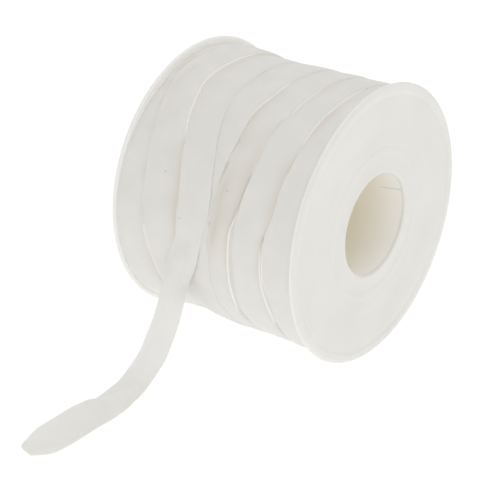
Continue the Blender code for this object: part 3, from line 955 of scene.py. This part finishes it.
def curve_through(points, step):
    """Points about a step apart on a smooth curve through the given ones."""
    ends = [2 * points[0] - points[1]] + points + [2 * points[-1] - points[-2]]
    spots = []
    for i in range(1, len(ends) - 2):
        a, b, c, d = ends[i - 1:i + 3]
        count = max(2, round((c - b).length / step))
        for n in range(count):
            t = n / count
            spot = 0.5 * (2 * b + (c - a) * t + (2 * a - 5 * b + 4 * c - d) * t * t
                          + (3 * b - a - 3 * c + d) * t ** 3)
            spots.append((i - 1 + t, spot))
    spots.append((len(points) - 1, points[-1]))
    return spots


def smooth_between(values, place):
    """Read a list of numbers at a fractional place, with a soft curve between them."""
    whole = min(int(place), len(values) - 2)
    part = place - whole
    part = part * part * (3 - 2 * part)
    return values[whole] + (values[whole + 1] - values[whole]) * part


def edge_curl(spot, share, hung):
    """How far an edge of the loose end still bends back to lie on the roll."""
    still = 1 - soft_step((hung - CURL_FULL) / CURL_FADE)
    if still == 0.0:
        return 0.0
    rise = spot.z - AXIS_Z
    turns = turns_at(degrees(atan2(rise, -spot.y)))
    tops = [laid_top(turn, spot.x, [other for other in turns if other is not turn])
            for turn in turns if turn.left <= spot.x <= turn.right]
    gap = (spot.y ** 2 + rise ** 2) ** 0.5 - PILE_HEIGHT / 2 - max(tops) - AIR
    return max(gap, 0.0) * still * soft_step((abs(share) - CURL_FLAT) / (1 - CURL_FLAT))


def hanging_sections(start_length):
    """Sections of the loose end, from the front of the roll down and out along the floor."""
    front = turn_at("upper", 0.0)
    laid_width = front.right - front.left
    laid_rise = front.right_top - front.left_top
    start = Vector(((front.left + front.right) / 2,
                    PILE_HEIGHT / 2 - (front.left_top + front.right_top) / 2 - CROWN * 2 / 3,
                    AXIS_Z))
    points = [start] + [Vector((s.x, s.y, s.z)) for s in LOOSE_END]
    spots = curve_through(points, SHEET_STEP)
    leans = [-degrees(atan2(laid_rise, laid_width))] + [s.lean for s in LOOSE_END]
    cups = [-CROWN] + [s.cup for s in LOOSE_END]
    sections = []
    length = start_length
    before = spots[0][1]
    for n, (place, spot) in enumerate(spots):
        length += (spot - before).length
        before = spot
        ahead = (spots[min(n + 1, len(spots) - 1)][1] - spots[max(n - 1, 0)][1]).normalized()
        square = (Vector((1, 0, 0)) - ahead * ahead.x).normalized()
        turned = soft_step((length - start_length) / TURN_AWAY)
        across_way = Vector((1, 0, 0)).lerp(square, turned).normalized()
        out_way = ahead.cross(across_way).normalized()
        lean = radians(smooth_between(leans, place))
        cup = smooth_between(cups, place)
        across_leaned = across_way * cos(lean) - out_way * sin(lean)
        out_leaned = out_way * cos(lean) + across_way * sin(lean)
        width = RIBBON_WIDTH - 8 * cup * cup / (3 * RIBBON_WIDTH)
        half = (laid_width + (width - laid_width) * turned) / 2
        tip = max(1 - (spot - points[-1]).length / TIP_LENGTH, 0.0)
        left_reach = 1 - TIP_LEFT_SHARE * tip ** TIP_LEFT_POWER
        right_reach = 1 - TIP_RIGHT_SHARE * tip ** TIP_RIGHT_POWER
        section = []
        for share, height, bare in section_across((0.0, 0.0), (0.0, 0.0)):
            reach = share * (left_reach if share < 0 else right_reach)
            middle = spot + across_leaned * (reach * half)
            middle += out_leaned * cup * (reach * reach - 1 / 3)
            middle -= ahead * TIP_LEFT_BACK * min(share, 0.0) ** 2 * tip
            bend = 2 * cup * reach / half
            out = (out_leaned - across_leaned * bend).normalized()
            middle -= out * edge_curl(middle, share, length - start_length)
            section.append((middle + out * (height - PILE_HEIGHT / 2),
                            middle - out * (PILE_HEIGHT / 2), share * RIBBON_WIDTH / 2,
                            bare, 0.0))
        low = min(min(point[0].z, point[1].z) for point in section)
        lift = Vector((0, AXIS_Y, max(-low, 0.0)))
        sections.append((length, [(top + lift, back + lift, *rest)
                                  for top, back, *rest in section]))
    return sections


def loose_ribbon():
    """The last turn, from behind the top to the front, and the loose end: piece and length."""
    laid = []
    steps = round(LAID_END_ANGLE / TURN_STEP * 2)
    for n in range(steps):
        turn = turn_at("upper", LAID_END_ANGLE * (1 - n / steps))
        length = radians(LAID_END_ANGLE - turn.angle) * LAID_RADIUS
        laid.append(laid_section(turn, length, rests_on_turns=True))
    sections = laid + hanging_sections(radians(LAID_END_ANGLE) * LAID_RADIUS)
    bm = new_cloth()
    add_ribbon(bm, sections)
    cloth = object_from(bm, "loose_ribbon")
    single = cloth.data.attributes.new("single_layer", "FLOAT", "POINT")
    for vertex in cloth.data.vertices:
        _, y, z = vertex.co / MM
        away = hypot(y - AXIS_Y, z - AXIS_Z) - SINGLE_FROM
        clear = soft_step(z / FLOOR_SHADE)
        single.data[vertex.index].value = soft_step(away / SINGLE_FADE) * clear
    return cloth, sections[-1][0]


# Studio

def studio():
    """A pale table in a white tent, with four soft boxes."""
    deselect_all()
    bpy.ops.mesh.primitive_plane_add(size=TABLE_SIZE, location=(0.0, 0.0, 0.0))
    table = bpy.context.object
    table.name = "studio_table"
    table.data.materials.append(lit_table())

    world = bpy.data.worlds.new("studio tent")
    world.use_nodes = True
    world.node_tree.nodes["Background"].inputs["Color"].default_value = (1.0, 1.0, 1.0, 1.0)
    world.node_tree.nodes["Background"].inputs["Strength"].default_value = TENT_STRENGTH
    bpy.context.scene.world = world

    for box in SOFT_BOXES:
        light = bpy.data.lights.new(box.name, "AREA")
        light.shape = "SQUARE"
        light.size = box.size
        light.energy = box.watts
        lamp = bpy.data.objects.new(box.name, light)
        lamp.location = box.place
        aim = Vector(LIGHTS_AIM) - Vector(box.place)
        lamp.rotation_euler = aim.to_track_quat("-Z", "Y").to_euler()
        bpy.context.collection.objects.link(lamp)


def camera():
    """The camera at the photo's angle."""
    lens = bpy.data.cameras.new("camera")
    lens.sensor_width = SENSOR
    lens.lens = LENS
    lens.clip_start = 0.01
    eye = bpy.data.objects.new("camera", lens)
    x, y, z = EYE_FROM_AXIS
    eye.location = (x, y + AXIS_Y * MM, z + AXIS_Z * MM)
    eye.rotation_euler = (radians(90.0 - EYE_DOWN), 0.0, radians(EYE_ROUND))
    bpy.context.collection.objects.link(eye)
    bpy.context.scene.camera = eye


camera()
RUNS = {"upper": UPPER_RUN, "lower": LOWER_RUN, "flange": FLANGE_RUN}
SMOOTHED = map_of_heights()
polystyrene = white_moulded_polystyrene()
velvet = white_velvet()
core_material = cream_core_plastic()

for name, side in (("flange_left", -1), ("flange_right", 1)):
    flange = turned_ring(name + "_moulded", FLANGE_SECTION, side)
    flatten_foot(flange)
    finish_piece(flange, polystyrene, name, 30)

CorePoint = namedtuple("CorePoint", "radius x")
core = turned_ring("core_tube_moulded", [
    CorePoint(CORE_BORE_RADIUS, -CORE_HALF_LENGTH),
    CorePoint(CORE_RADIUS, -CORE_HALF_LENGTH),
    CorePoint(CORE_RADIUS, CORE_HALF_LENGTH),
    CorePoint(CORE_BORE_RADIUS, CORE_HALF_LENGTH),
])
finish_piece(core, core_material, "core_tube", 30)

roll = wound_ribbon()
finish_piece(roll, velvet, "ribbon_pack", 60)

loose, loose_length = loose_ribbon()
finish_piece(loose, velvet, "ribbon_tail", 60)

studio()
scene = bpy.context.scene
scene.view_settings.view_transform = "Standard"
